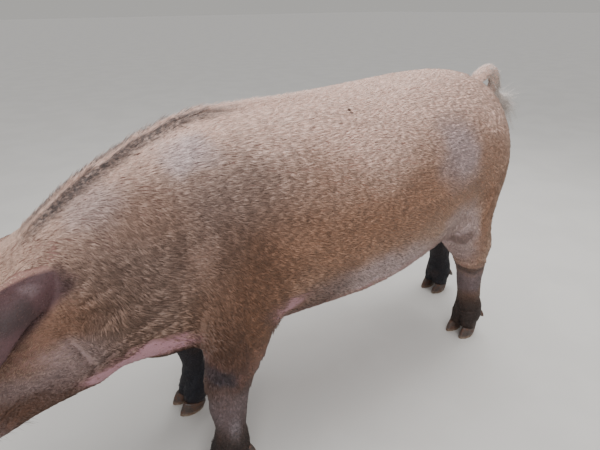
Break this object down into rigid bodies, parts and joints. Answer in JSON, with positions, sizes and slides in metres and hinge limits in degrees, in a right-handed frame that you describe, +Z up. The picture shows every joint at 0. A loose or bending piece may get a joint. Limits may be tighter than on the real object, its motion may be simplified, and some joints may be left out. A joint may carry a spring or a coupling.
{
  "type": "domestic boar",
  "caption": "Standing domestic boar with its head lowered: barrel-shaped body, long snout, drooping ears, low bristle crest, raised tail and cloven hooves.",
  "frame": {"origin": "on the floor, under the middle of the box round the whole animal", "axes": "-X towards the snout, +Y towards the animal's right side, +Z up"},
  "size_m": [1.8406, 0.469, 0.8805],
  "materials": {
    "body_coat": "short cream bristles over pink skin, stained ochre on the flanks",
    "face_coat": "thin cream bristles over pink-brown skin",
    "leg_coat": "thin dark bristles over grey skin, muddy",
    "tail_coat": "white bristles",
    "ear_skin": "bare, dark purple-brown skin",
    "snout_skin": "bare, moist pink skin",
    "hoof_horn": "dark, dull horn",
    "eye": "dark, wet and glossy"
  },
  "bodies": {
    "root": {"neck": "body_coat", "chest": "body_coat", "barrel": "body_coat", "rump": "body_coat", "head": "face_coat", "snout_disc": "snout_skin", "eye_left": "eye", "eye_right": "eye", "ear_left": "ear_skin", "ear_right": "ear_skin", "tail": "tail_coat", "fore_left_upper": "body_coat", "fore_left_lower": "leg_coat", "fore_left_hoof_outer": "hoof_horn", "fore_left_dewclaw_outer": "hoof_horn", "fore_left_hoof_inner": "hoof_horn", "fore_left_dewclaw_inner": "hoof_horn", "fore_right_upper": "body_coat", "fore_right_lower": "leg_coat", "fore_right_hoof_outer": "hoof_horn", "fore_right_dewclaw_outer": "hoof_horn", "fore_right_hoof_inner": "hoof_horn", "fore_right_dewclaw_inner": "hoof_horn", "hind_left_upper": "body_coat", "hind_left_lower": "leg_coat", "hind_left_hoof_outer": "hoof_horn", "hind_left_dewclaw_outer": "hoof_horn", "hind_left_hoof_inner": "hoof_horn", "hind_left_dewclaw_inner": "hoof_horn", "hind_right_upper": "body_coat", "hind_right_lower": "leg_coat", "hind_right_hoof_outer": "hoof_horn", "hind_right_dewclaw_outer": "hoof_horn", "hind_right_hoof_inner": "hoof_horn", "hind_right_dewclaw_inner": "hoof_horn"}
  },
  "joints": []
}
